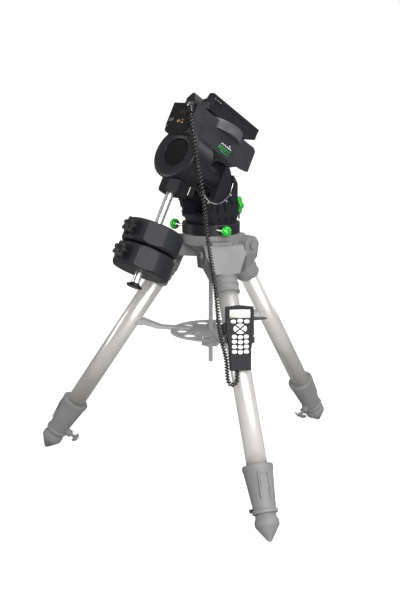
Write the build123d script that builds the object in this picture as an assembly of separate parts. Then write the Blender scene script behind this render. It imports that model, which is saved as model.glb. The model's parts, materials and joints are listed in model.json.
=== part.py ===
"""German equatorial mount on its tripod: millimetres, +Z up, origin on the floor under the azimuth axis.

-Y is the side that points at the pole, +X the side of the plain declination cover.
Head parts are drawn in the head frame: x across, q backwards along the polar axis, u along the
declination axis. HEAD turns that frame into the row frame.
"""
import math
import os

from build123d import *

os.makedirs("parts", exist_ok=True)

GAP = 0.3  # clearance between curved faces that pass each other
RUN = 0.05  # radial clearance of a running fit

# tripod
FOOT_RADIUS = 531.0
LEG_ANGLE = 33.6  # from the vertical
LEG_TUBE_R = 27.5
INNER_TUBE_R = 24.0
LEGS = {"rear": 90.0, "left": 210.0, "right": 330.0}
CLAMP_START = 70.0  # distances along a leg from the foot's tip
CLAMP_END = 194.0
SLEEVE_END = 666.0
HINGE_S = 777.0
HINGE_OUT = 13.5
HINGE_BOLT_R = 7.0
LUG_HALF = 29.0
EAR_HALF = 56.0
EAR_R = 28.0
COWL_IN = 35.0  # inner face of the wall that covers the hinge, from the leg's axis
HUB_TOP = 701.0
HUB_R = 80.0
TRAY_Z = 408.0
TRAY_R = 117.0
TRAY_T = 5.0
TRAY_HOLE_R = 16.0
ROD_R = 6.0
ROD_BOTTOM = 318.0
FOLD = 4.5  # degrees that the legs fold in
DROP = 560.0  # fall of the tray for each radian of fold

# azimuth base and fork
RING_R = 82.0
RING_TOP = 731.0
PLATE_R = 78.0
PLATE_T = 6.0
SPIGOT_R = 20.0
PEG_Y = -45.0
KNOB_Z = 718.0
ARM_IN = 43.0
ARM_OUT = 56.0
PIVOT_Y = -32.0
PIVOT_Z = 852.0
CRADLE_R = 62.0
BOSS_R = 61.7

# head frame
LATITUDE = 30.0
HEAD_Y = -108.0
HEAD_Z = 915.5
DRUM_R = 75.0
DRUM_FRONT = -33.0
DRUM_BACK = 35.0
COVER_T = 6.0
RA_SHAFT_R = 20.0
WAIST_R = 40.0
HOUSING_BACK = 140.0
POCKET_R = 54.0  # recess in each side of the housing
POCKET_BACK = 113.0
POCKET_FLOOR = 24.0
WHEEL_R = 46.0
WORM_R = 8.0
BLOCK_BOTTOM = -105.0
CW_SHAFT_R = 11.0
CW_SHAFT_END = -368.0
WEIGHT_R = 80.0
WEIGHTS = {"upper": (-270.0, -208.0), "lower": (-338.5, -276.5)}
DEC_Q = 79.0
BOX_HALF = 50.0
BOX_FRONT = -64.0
BOX_BACK = 203.0
BOX_TOP = 131.0
BOX_BOTTOM = 49.0
SCOOP_R = 72.0
DEC_RING_R = 73.5
DEC_RING_BOTTOM = 109.0
DEC_RING_TOP = 138.0
SADDLE_FRONT = -28.0
SADDLE_BACK = 186.0
SADDLE_TOP = 184.0
SADDLE_FLOOR = 158.0

# handset
HANDSET_H = 170.0
HANDSET_T = 24.0
HANDSET_AT = (259.5, -163.0, 471.0)
HANDSET_AZ = -42.0
HANDSET_LEAN = 12.0
HOLDER_S = 566.0
CORD_R = 6.5
PLUG_X = 31.0
PLUG_U = 122.0
PLUG_Q = 76.0
PLUG_TURN = 150.0
PLUG_REACH = 26.0

HEAD = Plane(
    origin=(0, HEAD_Y, HEAD_Z),
    x_dir=(1, 0, 0),
    z_dir=(0, math.sin(math.radians(LATITUDE)), math.cos(math.radians(LATITUDE))),
).location
BOTTOM = (Align.CENTER, Align.CENTER, Align.MIN)


def bar_x(radius, x0, x1, y=0.0, z=0.0):
    return Pos(x0, y, z) * Rot(0, 90, 0) * Cylinder(radius, x1 - x0, align=BOTTOM)


def bar_y(radius, y0, y1, x=0.0, z=0.0):
    return Pos(x, y0, z) * Rot(-90, 0, 0) * Cylinder(radius, y1 - y0, align=BOTTOM)


def bar_z(radius, z0, z1, x=0.0, y=0.0):
    return Pos(x, y, z0) * Cylinder(radius, z1 - z0, align=BOTTOM)


def block(x0, x1, y0, y1, z0, z1):
    return Pos((x0 + x1) / 2, (y0 + y1) / 2, (z0 + z1) / 2) * Box(x1 - x0, y1 - y0, z1 - z0)


def prism_x(points, x0, x1):
    """The (y, z) outline, from x0 to x1."""
    face = Plane.YZ * Polygon(*points, align=None)
    return Pos(x0, 0, 0) * extrude(face, x1 - x0, dir=(1, 0, 0))


def prism_y(points, y0, y1):
    """The (x, z) outline, from y0 to y1."""
    face = Plane.XZ * Polygon(*points, align=None)
    return Pos(0, y0, 0) * extrude(face, y1 - y0, dir=(0, 1, 0))


def prism_z(points, z0, z1):
    face = Polygon(*points, align=None)
    return Pos(0, 0, z0) * extrude(face, z1 - z0, dir=(0, 0, 1))


def turned(points):
    """A solid of revolution about Z from an (r, z) outline."""
    return revolve(Plane.XZ * Polygon(*points, align=None), Axis.Z)


def lobed_knob(radius, lobe_r, lobes, z0, z1):
    """A hand knob with round lobes about Z."""
    knob = bar_z(radius - lobe_r * 0.6, z0, z1)
    for i in range(lobes):
        turn = math.radians(360 / lobes * i)
        reach = radius - lobe_r
        knob += bar_z(lobe_r, z0, z1, reach * math.cos(turn), reach * math.sin(turn))
    return knob


def save(name, *solids):
    shape = solids[0] if len(solids) == 1 else Compound(children=[s for s in solids])
    export_step(shape, f"parts/{name}.step")


# ---------------------------------------------------------------- tripod
def leg_frame(azimuth):
    """Leg frame: origin at the foot's tip, z along the leg, x outward, y round the tripod."""
    turn = math.radians(azimuth)
    lean = math.radians(LEG_ANGLE)
    out = (math.cos(turn), math.sin(turn), 0)
    up = (-math.sin(lean) * out[0], -math.sin(lean) * out[1], math.cos(lean))
    side = (math.cos(lean) * out[0], math.cos(lean) * out[1], math.sin(lean))
    return Plane(origin=(FOOT_RADIUS * out[0], FOOT_RADIUS * out[1], 0), x_dir=side, z_dir=up).location


def folded_leg(azimuth, degrees):
    """Leg frame after a fold, as it lies from the tray that drops with the legs."""
    hinge = Pos(HINGE_OUT, 0, HINGE_S)
    fall = DROP * math.radians(degrees)
    return Pos(0, 0, fall) * leg_frame(azimuth) * hinge * Rot(0, degrees, 0) * hinge.inverse()


def leg_top():
    """Top casting: ribbed sleeve that flares to two ears and a cowl round the hinge."""
    sleeve = bar_z(33, SLEEVE_END, 728)
    for s in (668, 688, 706):
        sleeve += bar_z(34.5, s, s + 5)
    low = Pos(0, 0, 712) * Rectangle(64, 66)
    high = Pos(10.75, 0, 762) * Rectangle(61.5, 2 * EAR_HALF)
    flare = loft([low.face(), high.face()])
    ears = block(-20, HINGE_OUT + EAR_R, -EAR_HALF, EAR_HALF, 762, HINGE_S)
    ears += Pos(HINGE_OUT, 0, HINGE_S) * Rot(90, 0, 0) * Cylinder(EAR_R, 2 * EAR_HALF)
    body = sleeve + flare + ears
    body -= block(-60, COWL_IN, -LUG_HALF - 1, LUG_HALF + 1, 748, 820)
    body -= bar_z(LEG_TUBE_R, SLEEVE_END - 1, 722)
    body -= Pos(HINGE_OUT, 0, HINGE_S) * Rot(90, 0, 0) * Cylinder(HINGE_BOLT_R + RUN, 130)
    return body


def leg_tube():
    return bar_z(LEG_TUBE_R, 188, 722) - bar_z(LEG_TUBE_R - 2, 187, 723)


def leg_clamp():
    """Lower casting on the outer tube: wide at its lip, narrow at the foot, with the lock's boss inside."""
    outline = [(0, CLAMP_START), (29, CLAMP_START), (31, 100), (38.5, 178)]
    outline += [(40.5, 182), (40.5, 192), (38.5, CLAMP_END), (0, CLAMP_END)]
    body = turned(outline)
    body += bar_x(11, -46, -20, 0, 88)
    body -= bar_z(LEG_TUBE_R, 188, CLAMP_END + 1)
    body -= bar_z(INNER_TUBE_R + GAP, 69, 190)
    body -= bar_x(5 + RUN, -60, 0, 0, 88)
    return body


def lower_leg():
    """Inner tube and cast foot, which slide out of the clamp together."""
    foot = turned([(0, 0), (6, 3), (31.5, 40), (31.5, 52), (28, 60), (26.5, 69.5), (0, 69.5)])
    tube = bar_z(INNER_TUBE_R, 69.5, 600) - bar_z(INNER_TUBE_R - 2, 71, 601)
    return foot + tube


def leg_lock():
    """Wing screw that presses on the inner tube."""
    screw = bar_x(5, -62, -INNER_TUBE_R - GAP, 0, 88)
    wing = bar_x(9, -68, -56, 0, 88) + block(-70, -62, -24, 24, 83, 93)
    return screw + wing


def tripod_hub():
    """Casting under the mount: a flange and neck with three lugs for the legs."""
    hub = turned([(0, 600), (38, 600), (42, 640), (60, 660), (HUB_R, 672), (HUB_R, HUB_TOP), (0, HUB_TOP)])
    for azimuth in LEGS.values():
        lug = block(30, 112, -LUG_HALF, LUG_HALF, 634, 688)
        here = leg_frame(azimuth) * Pos(HINGE_OUT, 0, HINGE_S) * Rot(90, 0, 0)
        lug = Rot(0, 0, azimuth) * lug + here * Cylinder(20, 2 * LUG_HALF)
        hub += lug - here * Cylinder(HINGE_BOLT_R, 2 * LUG_HALF + 2)
    hub -= bar_z(ROD_R, 599, HUB_TOP + 1)
    return hub


def hinge_bolts():
    bolts = []
    for azimuth in LEGS.values():
        bolt = Cylinder(HINGE_BOLT_R, 2 * EAR_HALF + 4)
        for side in (-1, 1):
            bolt += Pos(0, 0, side * (EAR_HALF + 5)) * Cylinder(11, 8)
        bolts.append(leg_frame(azimuth) * Pos(HINGE_OUT, 0, HINGE_S) * Rot(90, 0, 0) * bolt)
    return bolts


def tray():
    """Accessory tray and spreader: a holed plate with three arms that press on the legs."""
    plate = bar_z(TRAY_R, TRAY_Z, TRAY_Z + TRAY_T)
    plate += bar_z(22, TRAY_Z - 12, TRAY_Z + TRAY_T)
    for azimuth in LEGS.values():
        outline = [(60, 0), (60, 9), (150, 9), (200, 25), (222, 25), (222, 9), (200, 9), (160, 0)]
        arm = Pos(0, 0, TRAY_Z) * prism_y(outline, -12, 12)
        arm += block(203, 222, -19, 19, TRAY_Z + 9, TRAY_Z + 25)
        plate += Rot(0, 0, azimuth) * arm
        for step in range(5):
            plate -= folded_leg(azimuth, FOLD * step / 4) * bar_z(LEG_TUBE_R + GAP, 300, 700)
        for spread, out, radius in ((24, 84, TRAY_HOLE_R), (-24, 84, TRAY_HOLE_R), (60, 52, 9), (60, 86, 18)):
            turn = math.radians(azimuth + spread)
            hole = bar_z(radius, TRAY_Z - 1, TRAY_Z + 12, out * math.cos(turn), out * math.sin(turn))
            plate -= hole
    plate -= bar_z(ROD_R + RUN, TRAY_Z - 20, TRAY_Z + 20)
    return plate


def tray_nut():
    nut = lobed_knob(27, 9, 6, TRAY_Z - 40, TRAY_Z - 24)
    nut += bar_z(20, TRAY_Z - 26, TRAY_Z - 12 - GAP)
    return nut - bar_z(ROD_R + RUN, TRAY_Z - 60, TRAY_Z)


def centre_rod():
    return bar_z(ROD_R, ROD_BOTTOM, HUB_TOP)


# ---------------------------------------------------------------- azimuth base and fork
def azimuth_plate():
    """Fixed plate on the tripod with the pivot spigot and the peg that the azimuth screws push."""
    plate = bar_z(PLATE_R, HUB_TOP, HUB_TOP + PLATE_T)
    plate += bar_z(SPIGOT_R, HUB_TOP, HUB_TOP + 22)
    plate += bar_z(8, HUB_TOP, HUB_TOP + 24, 0, PEG_Y)
    return plate


def base_ring():
    ring = chamfer(bar_z(RING_R, HUB_TOP + GAP, RING_TOP).edges().group_by(Axis.Z)[-1], 1.5)
    ring -= bar_z(PLATE_R + GAP, HUB_TOP, HUB_TOP + PLATE_T + GAP)
    ring -= bar_z(SPIGOT_R + RUN, HUB_TOP, HUB_TOP + 23)
    ring -= block(-22, 22, PEG_Y - 10, PEG_Y + 10, HUB_TOP, HUB_TOP + 25)
    ring -= bar_x(4 + RUN, -90, 90, PEG_Y, KNOB_Z)
    return ring


def azimuth_knob(side):
    """Knurled knob and screw; its tip rests against the peg."""
    start, face, end = 8.0 + GAP, 92.0, 113.0
    screw = bar_x(4, start, 100, PEG_Y, KNOB_Z)
    knob = bar_x(15, face, end, PEG_Y, KNOB_Z)
    knob = fillet(knob.edges().filter_by(GeomType.CIRCLE), 3.5)
    whole = screw + knob + bar_x(8, face - 6, face + 1, PEG_Y, KNOB_Z)
    return whole if side > 0 else mirror(whole, Plane.YZ)


def fork():
    """Slotted drum with two arms, each with a round cradle for the altitude boss."""
    drum = turned([(0, RING_TOP), (70, RING_TOP), (76, 745), (78, 760), (78, 790), (0, 790)])
    drum &= block(-ARM_OUT, ARM_OUT, -90, 90, RING_TOP, 790)
    drum -= block(-ARM_IN, ARM_IN, -100, 52, 757, 800)
    outline = [(-58, 745), (-70, 790), (-86, 822), (-91, 833), (-78, 842), (20, 862), (34, 862), (50, 838)]
    outline += [(50, 800), (44, 745)]
    arms = prism_x(outline, -ARM_OUT, ARM_OUT) - block(-ARM_IN, ARM_IN, -130, 90, 700, 900)
    back = block(-ARM_IN, ARM_IN, 50, 58, 745, 790)
    body = drum + arms + back
    body -= bar_x(CRADLE_R, -70, 70, PIVOT_Y, PIVOT_Z)
    for side in (-1, 1):
        for lean in (-40, -20, 0, 20, 40):
            rib = Pos(0, 0, -80) * Box(8, 9, 26)
            body -= Pos(side * ARM_OUT, PIVOT_Y, PIVOT_Z) * Rot(lean, 0, 0) * rib
    body -= bar_y(6 + RUN, 40, 90, 0, 768)
    return body


def fork_screws():
    """Cap screws round each cradle."""
    screws = []
    for side in (-1, 1):
        for lean in (-62, -34, 30, 50):
            turn = math.radians(lean)
            y = PIVOT_Y + (CRADLE_R + 6) * math.sin(turn)
            z = PIVOT_Z - (CRADLE_R + 6) * math.cos(turn)
            x0, x1 = sorted((side * ARM_OUT, side * (ARM_OUT + 3)))
            screws.append(bar_x(3.2, x0, x1, y, z))
    return screws


def altitude_knob():
    """Star knob and screw at the back of the fork."""
    knob = lobed_knob(30, 9, 6, 0, 18)
    knob += Cylinder(6, 74, align=(Align.CENTER, Align.CENTER, Align.MAX))
    knob += Pos(0, 0, -8) * Cylinder(13, 8, align=BOTTOM)
    return Pos(0, 92, 768) * Rot(-90, 0, 0) * knob


# ---------------------------------------------------------------- polar axis
def ra_housing():
    """Tilting body: round bosses in the fork's cradles, the polar bearing tube and the worm's cheeks."""
    pivot = HEAD.inverse() * Location((0, PIVOT_Y, PIVOT_Z))
    mid = pivot.position
    reach = bar_x(BOSS_R, -ARM_OUT + 5, ARM_OUT - 5, mid.Y, mid.Z)
    between = block(-ARM_IN + 0.5, ARM_IN - 0.5, 0, HOUSING_BACK, -90, 90)
    rear = bar_y(54, 112, HOUSING_BACK)
    tube = bar_y(66, 14, DRUM_BACK - 1) + bar_y(WAIST_R, 30, 125) + (rear & between) + (rear & reach)
    boss = reach - block(-31, 31, mid.Y - 80, mid.Y + 80, mid.Z - 80, mid.Z - 20)
    boss &= block(-90, 90, DRUM_BACK + GAP + 1, 190, -200, 48)
    boss -= block(-ARM_IN + 0.5, ARM_IN - 0.5, HOUSING_BACK, 190, -200, 90)
    pocket = bar_x(POCKET_R, -90, 90, mid.Y, mid.Z) & block(-90, 90, DRUM_BACK, POCKET_BACK, -90, 60)
    boss -= pocket - block(-POCKET_FLOOR, POCKET_FLOOR, 0, 200, -90, 90)
    body = tube + boss
    worm_u = -WHEEL_R - WORM_R - 0.4
    for side in (-1, 1):
        body += block(side * 26 - 6, side * 26 + 6, -16, 16, -61, -47)
    body -= bar_x(WORM_R - 2, -40, 40, -7, worm_u)
    body -= bar_y(RA_SHAFT_R + 1, 0, HOUSING_BACK + 1)
    for q in (40, 112):
        body -= bar_y(30, q, q + 16)
    body -= bar_y(30, 112, HOUSING_BACK + 1)
    return body


def ra_bearings():
    rings = []
    for q in (40, 112):
        rings.append(bar_y(30, q, q + 16) - bar_y(RA_SHAFT_R + RUN, q - 1, q + 17))
    return rings


def ra_worm():
    axis_u = -WHEEL_R - WORM_R - 0.4
    worm = bar_x(WORM_R, -19.5, 19.5, -7, axis_u)
    return worm + bar_x(WORM_R - 2 - RUN, -34, 34, -7, axis_u)


def polar_cap():
    cap = bar_y(42, HOUSING_BACK, HOUSING_BACK + 7) + bar_y(30, HOUSING_BACK - 8, HOUSING_BACK)
    return chamfer(cap.edges().group_by(Axis.Y)[-1], 3)


def ra_drum():
    """Turning drum: a skirt over the worm with a front wall fixed to the polar shaft."""
    drum = bar_y(DRUM_R, DRUM_FRONT, DRUM_BACK)
    drum = chamfer(drum.edges().group_by(Axis.Y)[-1], 2)
    drum -= bar_y(DRUM_R - 5, DRUM_FRONT + 8, DRUM_BACK + 1)
    drum -= bar_y(RA_SHAFT_R, DRUM_FRONT - 1, DRUM_FRONT + 9)
    return drum - bar_z(CW_SHAFT_R, -80, -60)


def ra_cover():
    """Front cover with a round dished recess."""
    cover = bar_y(DRUM_R, DRUM_FRONT - COVER_T, DRUM_FRONT)
    cover = fillet(cover.edges().group_by(Axis.Y)[0], 4)
    dish = Pos(0, DRUM_FRONT - COVER_T - 56, 0) * Sphere(69)
    return cover - (dish & bar_y(40, -60, DRUM_FRONT - 1.5))


def ra_shaft():
    return bar_y(RA_SHAFT_R, DRUM_FRONT, 131) - bar_y(12, DRUM_FRONT - 1, 132)


def ra_worm_wheel():
    return bar_y(WHEEL_R, -14, 0) - bar_y(RA_SHAFT_R, -15, 1)


def cw_block():
    """Socket casting under the drum that takes the counterweight shaft."""
    points = [(-33, 30), (-33, -12), (-14, -34), (14, -34), (33, -12), (33, 30)]
    body = prism_z(points, BLOCK_BOTTOM, -40)
    body -= bar_y(DRUM_R, -80, 80)
    body -= bar_z(CW_SHAFT_R, BLOCK_BOTTOM - 1, -30)
    for u in (-84, -98):
        body -= bar_x(4.5, 27, 40, -2, u)
    return body


def cw_shaft():
    return chamfer(bar_z(CW_SHAFT_R, CW_SHAFT_END, -70).edges().group_by(Axis.Z)[0], 1)


def end_washer():
    """Black neck and safety washer on the shaft's end."""
    outline = [(0, -12), (19, -12), (22, -9), (22, -6), (14, -2), (12.5, 0), (0, 0)]
    return Pos(0, 0, CW_SHAFT_END) * turned(outline)


def weight(low, high):
    """Counterweight: a chamfered disc with a flat for its lock knob and two plain flats."""
    disc = bar_z(WEIGHT_R, low, high)
    disc = chamfer(disc.edges().filter_by(GeomType.CIRCLE), 6)
    for turn in (-140, -90, -40):
        disc -= Rot(0, 0, turn) * block(WEIGHT_R - 4, WEIGHT_R + 10, -60, 60, low - 1, high + 1)
    middle = (low + high) / 2
    disc -= bar_z(CW_SHAFT_R + RUN, low - 1, high + 1)
    return disc - bar_y(6 + RUN, -90, -5, 0, middle)


def weight_knob(low, high):
    """Lobed lock knob; its screw reaches the counterweight shaft."""
    middle = (low + high) / 2
    knob = lobed_knob(19, 6, 7, 0, 16)
    knob += Cylinder(6, 85 - CW_SHAFT_R - GAP, align=(Align.CENTER, Align.CENTER, Align.MAX))
    knob += Pos(0, 0, -6) * Cylinder(11, 6, align=BOTTOM)
    return Pos(0, -85, middle) * Rot(90, 0, 0) * knob


# ---------------------------------------------------------------- declination head
def dec_box():
    """Housing of the declination drive, scooped underneath so that it clears the fork."""
    outline = [(BOX_FRONT, BOX_TOP + 2), (BOX_FRONT, 52), (BOX_FRONT + 5, BOX_BOTTOM), (150, BOX_BOTTOM)]
    outline += [(BOX_BACK, 61), (BOX_BACK, 124), (BOX_BACK - 11, BOX_TOP), (0, BOX_TOP)]
    body = prism_x(outline, -BOX_HALF, BOX_HALF)
    for side in (-1, 1):
        wedge = [(side * BOX_HALF, -27), (side * 44, BOX_FRONT - 1)]
        wedge += [(side * 70, BOX_FRONT - 1), (side * 70, -27)]
        body -= prism_z(wedge, 0, 200)
    body -= bar_y(SCOOP_R, DRUM_BACK - 1, 260)
    body -= bar_y(DRUM_R, DRUM_FRONT - COVER_T, DRUM_BACK)
    body -= bar_z(DEC_RING_R + GAP, DEC_RING_BOTTOM - GAP, 200, 0, DEC_Q)
    body -= bar_z(36, 84, DEC_RING_BOTTOM, 0, DEC_Q)
    body -= bar_z(18 + RUN, 70, 90, 0, DEC_Q)
    body -= block(-20, 20, -50, -5, 84, 122)
    return body


def port_panel():
    """Connector plate on the front, with its sockets' holes."""
    panel = block(-43, 43, BOX_FRONT - 3, BOX_FRONT, 49, BOX_TOP + 1)
    low = panel.edges().filter_by(Axis.Y).group_by(Axis.Z)[0]
    panel = fillet(low, 18)
    for x, u, radius in ((0, 78, 5), (PLUG_X, PLUG_U, 8), (14, 82, 3)):
        panel -= bar_y(radius, BOX_FRONT - 4, BOX_FRONT - 0.5, x, u)
    return panel - block(-8, 20, BOX_FRONT - 4, BOX_FRONT - 1, 96, 116)


def panel_sockets():
    """Power socket, guider socket block and small port."""
    power = bar_y(5, BOX_FRONT - 5, BOX_FRONT - 0.5, 0, 78)
    power -= bar_y(2.5, BOX_FRONT - 6, BOX_FRONT - 2, 0, 78)
    port = bar_y(3, BOX_FRONT - 4, BOX_FRONT - 0.5, 14, 82)
    jack = block(-8, 20, BOX_FRONT - 2, BOX_FRONT - 1, 96, 116)
    return [power, port, jack]


def cord_plug():
    """Elbow plug of the handset's cord: a boss on the panel and a relief along the panel's face."""
    boss = bar_y(8, -PLUG_Q - 7, BOX_FRONT - 0.5, PLUG_X, PLUG_U)
    relief = Pos(PLUG_X, -PLUG_Q, PLUG_U) * Rot(0, PLUG_TURN, 0) * Cylinder(6, PLUG_REACH, align=BOTTOM)
    return HEAD * (boss + relief)


def dec_bearings():
    return [bar_z(36, 84, 96, 0, DEC_Q) - bar_z(18 + RUN, 83, 97, 0, DEC_Q)]


def dec_worm_wheel():
    return bar_z(34, 97, 108, 0, DEC_Q) - bar_z(18, 96, 109, 0, DEC_Q)


def dec_shaft():
    return bar_z(18, 74, 140, 0, DEC_Q)


def dec_ring():
    """Round head that turns in the housing and carries the saddle."""
    ring = chamfer(bar_z(DEC_RING_R, DEC_RING_BOTTOM, DEC_RING_TOP, 0, DEC_Q).edges(), 1)
    return ring - bar_z(18, DEC_RING_BOTTOM - 1, DEC_RING_TOP + 1, 0, DEC_Q)


def saddle_base():
    """Saddle body: floor plate and the fixed jaw on the +X side."""
    side = [(SADDLE_FRONT, SADDLE_FLOOR), (SADDLE_FRONT + 4, DEC_RING_TOP), (150, DEC_RING_TOP)]
    side += [(SADDLE_BACK, 152), (SADDLE_BACK, SADDLE_FLOOR)]
    body = prism_x(side, -36, 48)
    jaw = [(18, SADDLE_FLOOR - 2), (18, 166), (28, 167), (34, SADDLE_TOP), (50, SADDLE_TOP), (50, 176)]
    jaw += [(48.5, 175), (48.5, SADDLE_FLOOR - 2)]
    body += prism_y(jaw, SADDLE_FRONT, SADDLE_BACK)
    body -= bar_z(18, 130, 140, 0, DEC_Q)
    for q in (-14, -2, 10):
        body -= block(46, 60, q, q + 8, 160, 169)
    for q in (-8, 170):
        body -= bar_x(4 + RUN, -40, 36, q, 148)
    return body


def saddle_jaw():
    """Moving jaw on the -X side, with its two guide pins."""
    points = [(-36.3, 142), (-36.3, 158.5), (-13, 158.5), (-13, 161), (-20, 171), (-25, SADDLE_TOP)]
    points += [(-34, SADDLE_TOP), (-48, 168), (-48, 142)]
    jaw = prism_y(points, SADDLE_FRONT + 2, SADDLE_BACK - 2)
    jaw -= bar_x(5 + RUN, -60, -30, 20, 150)
    jaw -= bar_x(5 + RUN, -60, -30, 138, 150)
    for q in (-8, 170):
        jaw += bar_x(4, -40, 20, q, 148)
    return jaw


def saddle_knob(q):
    """Clamp knob with its screw through the moving jaw."""
    knob = bar_x(15, -72, -56, q, 150)
    knob = fillet(knob.edges().filter_by(GeomType.CIRCLE), 3)
    return knob + bar_x(5, -57, -36.2, q, 150)


# ---------------------------------------------------------------- handset
def handset_frame():
    turn = math.radians(HANDSET_AZ)
    lean = math.radians(HANDSET_LEAN)
    face = (math.cos(lean) * math.cos(turn), math.cos(lean) * math.sin(turn), math.sin(lean))
    return Plane(origin=HANDSET_AT, x_dir=(-math.sin(turn), math.cos(turn), 0), z_dir=face).location


def handset_outline(grow):
    top, low = HANDSET_H / 2, -HANDSET_H / 2
    half = [(36.5, top - 4), (36.5, 12), (32, -12), (28.5, -30), (27.5, low)]
    right = [(x + grow, y) for x, y in half]
    left = [(-x - grow, y) for x, y in reversed(half)]
    return [(0, top)] + right + left


def handset_case():
    case = prism_z(handset_outline(0), -HANDSET_T / 2, HANDSET_T / 2)
    case = fillet(case.edges().group_by(Axis.Z)[-1], 2.5)
    case -= block(-27, 27, 52, 74, HANDSET_T / 2 - 1.5, HANDSET_T)
    for x, y, wide, high in key_places():
        case -= block(x - wide / 2 - 0.4, x + wide / 2 + 0.4, y - high / 2 - 0.4, y + high / 2 + 0.4, 8, 20)
    return case - bar_y(5, -90, -HANDSET_H / 2 + 12, -8, -2)


def handset_screen():
    return block(-27, 27, 52, 74, HANDSET_T / 2 - 1.5, HANDSET_T / 2 - 0.2)


def key_places(group="all"):
    """Key centres and sizes: a row of three, four direction keys, and four rows of three."""
    menu = [(x, 42, 12, 7) for x in (-17, 0, 17)]
    arrows = [(0, 31, 12, 8), (0, 13, 12, 8), (-12, 22, 8, 12), (12, 22, 8, 12)]
    digits = [(x, y, 11, 7) for y in (0, -12.5, -25, -37.5) for x in (-14.5, 0, 14.5)]
    return {"all": menu + arrows + digits, "arrows": menu + arrows, "digits": digits}[group]


def keys(group):
    places = key_places(group)
    return [block(x - w / 2, x + w / 2, y - h / 2, y + h / 2, 9.2, 13.4) for x, y, w, h in places]


def handset_holder():
    """Cradle behind the handset with two side clips, a tapered horn and a band round the leg."""
    back = block(-24, 24, -40, 50, -HANDSET_T / 2 - 6, -HANDSET_T / 2 - GAP)
    for side in (-1, 1):
        back += block(side * 30 - 8.5, side * 30 + 8.5, -14, 2, -HANDSET_T / 2 - 6, 4)
    back -= prism_z(handset_outline(0.4), -HANDSET_T / 2 - GAP, 40)
    horn = prism_z([(20, 60), (42, 53), (70, 51.5), (75, 48.5), (70, 46), (34, 43), (20, 42)], -24, -15)
    local = back + horn
    band = leg_frame(LEGS["right"]) * (bar_z(33, HOLDER_S - 14, HOLDER_S + 14))
    stem = block(-14, 14, -4, 26, -66, -HANDSET_T / 2 - 5)
    whole = handset_frame() * (local + stem) + band
    return whole - leg_frame(LEGS["right"]) * bar_z(LEG_TUBE_R, 450, 640)


# ---------------------------------------------------------------- handset cord
CORD_ROUTE = [
    (44.3, -124.4, 1039.2),
    (56.0, -134.5, 1021.7),
    (70.0, -142.5, 990.0),
    (80.0, -145.0, 948.0),
    (86.0, -140.0, 894.0),
    (98.0, -133.0, 824.0),
    (109.0, -134.0, 752.0),
    (125.0, -140.5, 694.0),
    (149.0, -149.5, 634.0),
    (176.0, -162.5, 562.0),
    (205.0, -184.0, 478.0),
    (235.6, -188.1, 416.0),
    (241.5, -192.3, 378.0),
    (249.0, -195.0, 354.0),
    (262.0, -192.5, 347.0),
    (269.5, -184.5, 357.0),
    (268.9, -182.2, 368.0),
    (265.8, -179.5, 387.4),
]


def tube_along(points, radius):
    """Round tube along straight runs joined by tangent arcs; it also gives its length and radii."""
    at = [Vector(*p) for p in points]
    radii = []
    for before, here, after in zip(at, at[1:], at[2:]):
        turn = math.radians((here - before).get_angle(after - here))
        shorter = min((here - before).length, (after - here).length)
        radii.append(0.45 * shorter / math.tan(turn / 2))
    path = FilletPolyline(*at, radius=radii)
    start = Plane(origin=path @ 0, z_dir=path % 0)
    tube = sweep(start * Circle(radius), path=path)
    return tube, path.length, radii


def handset_cord():
    """Outer shape of the curly cord from the plug, past the drum and down to the handset."""
    tube, length, radii = tube_along(CORD_ROUTE, CORD_R)
    share = tube.volume / (math.pi * CORD_R**2 * length)
    print("handset cord", round(length, 1), "volume ratio", round(share, 4), [round(r) for r in radii])
    return tube


def main():
    save("tripod_hub", tripod_hub())
    save("hinge_bolts", *hinge_bolts())
    save("centre_rod", centre_rod())
    save("tray", tray())
    save("tray_nut", tray_nut())
    for name, azimuth in LEGS.items():
        here = leg_frame(azimuth)
        save(f"{name}_leg_top", here * leg_top())
        save(f"{name}_leg_tube", here * leg_tube())
        save(f"{name}_leg_clamp", here * leg_clamp())
        save(f"{name}_lower_leg", here * lower_leg())
        save(f"{name}_leg_lock", here * leg_lock())
    save("azimuth_plate", azimuth_plate())
    save("base_ring", base_ring())
    save("fork", fork())
    save("fork_screws", *fork_screws())
    save("azimuth_knob_right", azimuth_knob(1))
    save("azimuth_knob_left", azimuth_knob(-1))
    save("altitude_knob", altitude_knob())
    head = {
        "ra_housing": ra_housing(),
        "ra_bearings": ra_bearings(),
        "ra_worm": ra_worm(),
        "polar_cap": polar_cap(),
        "ra_drum": ra_drum(),
        "ra_cover": ra_cover(),
        "ra_shaft": ra_shaft(),
        "ra_worm_wheel": ra_worm_wheel(),
        "cw_block": cw_block(),
        "cw_shaft": cw_shaft(),
        "end_washer": end_washer(),
        "dec_box": dec_box(),
        "port_panel": port_panel(),
        "panel_sockets": panel_sockets(),
        "dec_bearing": dec_bearings(),
        "dec_worm_wheel": dec_worm_wheel(),
        "dec_shaft": dec_shaft(),
        "dec_ring": dec_ring(),
        "saddle_base": saddle_base(),
        "saddle_jaw": saddle_jaw(),
        "saddle_knob_front": saddle_knob(20),
        "saddle_knob_rear": saddle_knob(138),
    }
    for name, (low, high) in WEIGHTS.items():
        head[f"{name}_weight"] = weight(low, high)
        head[f"{name}_weight_knob"] = weight_knob(low, high)
    for name, shape in head.items():
        solids = shape if isinstance(shape, list) else [shape]
        save(name, *[HEAD * s for s in solids])
    save("cord_plug", cord_plug())
    here = handset_frame()
    save("handset_case", here * handset_case())
    save("handset_screen", here * handset_screen())
    save("handset_arrow_keys", *[here * k for k in keys("arrows")])
    save("handset_digit_keys", *[here * k for k in keys("digits")])
    save("handset_holder", handset_holder())
    save("handset_cord", handset_cord())


main()
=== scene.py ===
"""Looks of the equatorial mount: materials, fine detail, coiled cord, floor, light and camera.

Lengths in the local frames below are millimetres; every object is placed in metres.
"""

import json
import math

import bmesh
import bpy
from mathutils import Matrix, Vector


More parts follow.
